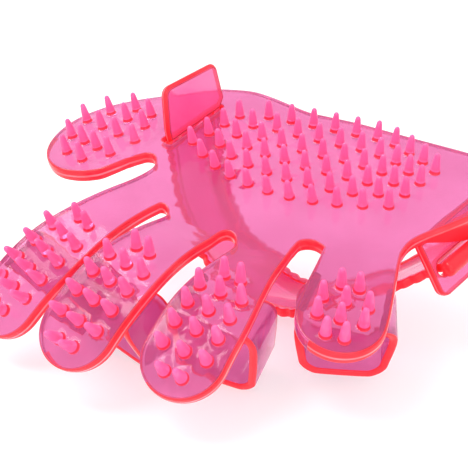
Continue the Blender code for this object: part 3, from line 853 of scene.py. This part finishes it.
def make_loop(name, finger):
    """The band under a finger, open along it, with its two ends against the finger's underside."""
    at, depth, half, turn, droop = finger["loop"]
    point = finger_frame(finger, at)[0]
    heading = math.radians(finger["heading"] + turn)
    level = Vector((math.sin(heading), -math.cos(heading), 0))
    forward = level * math.cos(math.radians(droop)) - Vector((0, 0, math.sin(math.radians(droop))))
    bank = math.radians(finger["bank"]) * smooth(at / finger["length"])
    side = Matrix.Rotation(-bank, 3, forward) @ Vector((math.cos(heading), math.sin(heading), 0))
    up = side.cross(-forward)
    half -= LOOP_WALL / 2
    bottom, deep = half * LOOP_TAPER - LOOP_CORNER, depth - LOOP_WALL / 2 - LOOP_CORNER
    line = [(-half, -LOOP_SHOULDER)]
    for sign, angles in ((-1, range(0, 91, 30)), (1, range(90, -1, -30))):
        for angle in angles:
            line.append((sign * (bottom + LOOP_CORNER * math.cos(math.radians(angle))),
                         -deep - LOOP_CORNER * math.sin(math.radians(angle))))
    line.append((half, -LOOP_SHOULDER))
    reach = LOOP_WIDTH / 2

    def top(sign):
        ends = []
        for distance in (at - reach, at + reach):
            here, across, above, _ = finger_frame(finger, distance)
            wide = half_width(finger, distance) - LOOP_WALL / 2
            ends.append(here + across * (sign * wide) - above * (SHEET - 0.05))
        return ends

    edges = [top(-1)]
    for across, height in line:
        centre = point + side * across + up * height
        edges.append((centre - forward * reach, centre + forward * reach))
    edges.append(top(1))
    stations = list(zip(*(catmull(edge, 5) for edge in zip(*edges))))
    rings = [corner_ring((b - a).length / 2, LOOP_WALL / 2, 0.6) for a, b in stations]
    loop = ribbon(name + "_loop_gel", stations, rings, PALM, GLOVE, first_cap=FACE, last_cap=FACE)
    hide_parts(name + "_loop")
    return loop


STRAP_HALF, STRAP_THICK, STRAP_CENTRE = 12.5, 1.3, -2.0
TOOTH_PITCH, TOOTH_DEPTH = 4.0, 1.0
SWERVE_START, SWERVE_LENGTH, SWERVE, TWIST = 18.0, 30.0, 13.0, math.radians(16)
ROUTE = [(-39.8, -8.0), (-38.6, -14.0), (-35.8, -21.2), (-31.4, -28.6),
         (-25.6, -34.6), (-17.5, -39.0), (-9.0, -42.2), (-1.8, -43.5), (8.5, -42.2),
         (18.0, -37.6), (28.4, -32.0), (35.0, -27.8), (42.0, -22.6), (47.4, -18.4)]
LEG_END = 4             # the route's point where the leg becomes the band's back
TAB_X = -42.0
TAB_HALF = 12.0
TAB_JOINT = 1.5         # height above the palm's middle plane where the tab meets the leg


def palm_height(x, y):
    """Height of the palm's middle plane above a point of the strap's frame."""
    to_palm = PALM.inverted() @ STRAP
    down = to_palm.to_3x3() @ Vector((0, 0, 1))
    return -((to_palm @ Vector((x, y, 0))).z + SHEET / 2) / down.z


def make_strap():
    top = palm_height(TAB_X, STRAP_CENTRE) + TAB_JOINT
    corners = [Vector((x, 0, z)) for x, z in [(TAB_X, top), (TAB_X + 0.4, top * 0.4)] + ROUTE]
    line = catmull(corners, 14)
    split_at = corners[LEG_END + 2]
    stations, rings, split, run = [], [], 0, 0.0
    for k, centre in enumerate(line):
        run += (centre - line[k - 1]).length if k else 0.0
        if (centre - split_at).length < 1e-6:
            split = k
        share = smooth((centre.x - SWERVE_START) / SWERVE_LENGTH)
        across = Vector((0, math.cos(TWIST * share), math.sin(TWIST * share)))
        middle = centre + Vector((0, STRAP_CENTRE + SWERVE * share, 0))
        half = STRAP_HALF - TOOTH_DEPTH * (1 - abs(math.sin(math.pi * run / TOOTH_PITCH)))
        slant = smooth((centre.z + 10.0) / (top + 10.0)) if centre.x < -30 else 0.0
        edges = []
        for reach in (-half, half):
            edge = middle + across * reach
            rise = palm_height(TAB_X, edge.y) + TAB_JOINT - top
            edges.append(edge + Vector((0, 0, rise * slant)))
        stations.append(tuple(edges))
        rings.append(rimmed_ring((edges[1] - edges[0]).length / 2, STRAP_THICK, 0.5, 8.6, 0.85))
    leg = ribbon("strap_leg_gel", stations[:split + 1], rings[:split + 1], STRAP, BAND, wall=0.6,
                 first_cap=CLEAR, last_cap=CLEAR)
    back = ribbon("strap_back_gel", stations[split:], rings[split:], STRAP, BAND, wall=0.6,
                  first_cap=CLEAR, last_cap=EDGE)
    middle = (stations[split][0] + stations[split][1]) / 2
    ahead = line[split - 1] - line[split + 1]
    reach = ahead.normalized() * 24.0
    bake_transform(leg)
    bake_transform(back)
    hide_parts("strap_thumb_leg")
    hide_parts("strap_back", "strap_outer_leg")


def make_pull_tab():
    low, high = (palm_height(TAB_X, STRAP_CENTRE + side * TAB_HALF) + TAB_JOINT - 0.6 for side in (-1, 1))
    shape = [(-TAB_HALF, low, 1.3), (TAB_HALF, high, 1.3), (14.0, high + 3.6, 1.3), (9.4, 25.3, 3.0),
             (-14.6, 19.7, 3.2), (-13.2, low + 4.4, 1.3)]
    outline = divided(rounded(shape), 2.5, closed=True)

    def surface(u, v):
        return Vector((TAB_X, STRAP_CENTRE + u, v)), Vector((0, 1, 0)), Vector((1, 0, 0))

    tab = plate("pull_tab_gel", outline, "r" * len(outline), surface, STRAP, BAND, sheet=2 * STRAP_THICK,
                rim=1.1, top=STRAP_THICK, grid=2.5)
    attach(tab, "pull_tab")
    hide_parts("strap_pull_tab")


# ---------------------------------------------------------------- buckle

BUCKLE_MIDDLE, BUCKLE_HALF, BUCKLE_LENGTH = 13.35, 14.65, 16.0
BUCKLE_SLOT = (8.2, 2.3, 12.5)      # distance from the hinge, half width, half length
ANCHOR_R = 2.4
NECK_HALF = 11.0


def buckle_surface(u, v):
    turn = Matrix.Rotation(BUCKLE_SLOPE, 3, "Y")
    hinge = Vector((BUCKLE_X, BUCKLE_MIDDLE, BUCKLE_Z))
    return hinge + turn @ Vector((u, v, 0)), turn @ Vector((1, 0, 0)), turn @ Vector((0, 0, 1))


def make_buckle():
    shape = [(-1.5, -BUCKLE_HALF, 0.9), (BUCKLE_LENGTH, -BUCKLE_HALF, 3.0), (BUCKLE_LENGTH, BUCKLE_HALF, 3.0),
             (-1.5, BUCKLE_HALF, 0.9)]
    outline = divided(rounded(shape), 2.5, closed=True)
    centre, wide, long = BUCKLE_SLOT
    slot = rounded([(centre - wide, -long, wide), (centre - wide, long, wide), (centre + wide, long, wide),
                    (centre + wide, -long, wide)], 6)
    slot = divided(slot, 2.5, closed=True)
    tab = plate("buckle_tab_gel", outline, "r" * len(outline), buckle_surface, PALM, BAND, sheet=BUCKLE_WALL,
                top=BUCKLE_WALL / 2, holes=[slot], grid=2.5)
    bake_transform(tab)
    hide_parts("buckle_tab")


def make_anchor():
    """A round bar with soft ends, lying on the tab, and the neck that runs through the slot."""
    centre = BUCKLE_SLOT[0]
    height = BUCKLE_WALL / 2 + 0.3 + ANCHOR_R
    bm = bmesh.new()
    sides, rows = 20, []
    profile = [(-12.5, 1.3), (-12.3, 1.8), (-11.9, 2.2), (-11.2, 2.38), (-10.4, ANCHOR_R)]
    profile += [(-10.4 + 20.8 * k / 10, ANCHOR_R) for k in range(1, 10)]
    profile += [(-along, radius) for along, radius in profile[4::-1]]
    for along, radius in profile:
        row = []
        for k in range(sides):
            angle = 2 * math.pi * k / sides
            point, side, up = buckle_surface(centre, along)
            rise, reach = radius * math.sin(angle), radius * math.cos(angle)
            row.append(bm.verts.new(point + up * (height + rise) + side * reach))
        rows.append(row)
    for one, two in zip(rows, rows[1:]):
        for k in range(sides):
            after = (k + 1) % sides
            bm.faces.new((one[k], one[after], two[after], two[k])).material_index = EDGE
    for row in (rows[0], rows[-1]):
        bm.faces.new(row).material_index = EDGE
    bar = finished("anchor_bar_gel", bm, BAND, PALM)
    point, side, up = buckle_surface(centre, 0)
    along = up.cross(side)
    stations = []
    for k in range(9):
        at = point + up * (height - 1.2 - (height + 0.6) * k / 8)
        stations.append((at - along * NECK_HALF, at + along * NECK_HALF))
    rings = [corner_ring(NECK_HALF, STRAP_THICK, 0.5)] * len(stations)
    neck = ribbon("anchor_neck_gel", stations, rings, PALM, BAND, wall=0.6)
    for piece in (bar, neck):
        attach(piece, "buckle")
    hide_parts("strap_anchor_bar")


# ---------------------------------------------------------------- assembly

for one in FINGERS.values():
    trace(one)
make_palm()
make_thumb()
for finger_name, finger_data in FINGERS.items():
    pieces = make_finger(finger_name, finger_data)
    loop_piece = make_loop(finger_name, finger_data)
    if len(pieces) == 2:
        base_piece, pad_piece = pieces
        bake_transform(base_piece)
        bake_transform(pad_piece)
        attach(loop_piece, finger_name + "_tip")
    else:
        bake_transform(pieces[0])
        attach(loop_piece, "little_finger")
make_strap()
make_pull_tab()
make_buckle()
make_anchor()


# ---------------------------------------------------------------- stage, light and camera


def make_floor():
    bpy.ops.mesh.primitive_plane_add(size=8)
    floor = bpy.context.object
    floor.name = "floor"
    material, nodes, links, shader = tree_of("floor")
    links.new(ramp(nodes, links, noise(nodes, links, 3.0), (0.50, 0.50, 0.505), (0.53, 0.53, 0.53)),
              shader.inputs["Base Color"])
    shader.inputs["Roughness"].default_value = 0.8
    shader.inputs["Specular IOR Level"].default_value = 0.2
    shader.inputs["Emission Color"].default_value = (1, 1, 1, 1)
    shader.inputs["Emission Strength"].default_value = 0.55
    floor.data.materials.append(material)


def soft_light(name, position, size, power, target=(0, 0, 0.03)):
    light = bpy.data.lights.new(name, "AREA")
    light.shape = "DISK"
    light.size = size
    light.energy = power
    lamp = bpy.data.objects.new(name, light)
    lamp.location = position
    lamp.rotation_mode = "QUATERNION"
    lamp.rotation_quaternion = (Vector(target) - Vector(position)).to_track_quat("-Z", "Y")
    bpy.context.scene.collection.objects.link(lamp)


def make_camera():
    """Looks at the palm's centre from beyond the ring and little fingers."""
    azimuth, elevation, distance = math.radians(43), math.radians(36.5), 261.0
    right = Vector((math.cos(azimuth), math.sin(azimuth), 0))
    back = Vector((math.sin(azimuth) * math.cos(elevation), -math.cos(azimuth) * math.cos(elevation),
                   math.sin(elevation)))
    up = back.cross(right)
    spot = back * distance
    pose = Matrix(((right.x, up.x, back.x, spot.x), (right.y, up.y, back.y, spot.y),
                   (right.z, up.z, back.z, spot.z), (0, 0, 0, 1)))
    data = bpy.data.cameras.new("camera")
    camera = bpy.data.objects.new("camera", data)
    bpy.context.scene.collection.objects.link(camera)
    turned = PALM @ pose
    camera.matrix_world = Matrix.LocRotScale(turned.to_translation(), turned.to_quaternion(), None)
    data.sensor_width = 36.0
    data.lens = 65.38
    data.shift_x, data.shift_y = -0.141, -0.1474
    data.clip_start, data.clip_end = 0.01, 50
    bpy.context.scene.camera = camera


make_floor()
soft_light("key", (-0.5, -0.35, 0.9), 0.7, 6.0)
soft_light("fill", (0.9, -0.5, 0.6), 0.9, 3.0)
ring_tip = along(FINGERS["ring"], 48.0)
toward = (PALM.to_3x3() @ Vector((-0.335, -0.110, 0.936))).normalized()
soft_light("glare", ring_tip + toward * 0.5, 0.17, 0.65, ring_tip)
world = bpy.data.worlds.new("studio")
world.use_nodes = True
world.node_tree.nodes["Background"].inputs["Color"].default_value = (1, 1, 1, 1)
world.node_tree.nodes["Background"].inputs["Strength"].default_value = 0.95
bpy.context.scene.world = world
bpy.context.scene.view_settings.view_transform = "Standard"
make_camera()
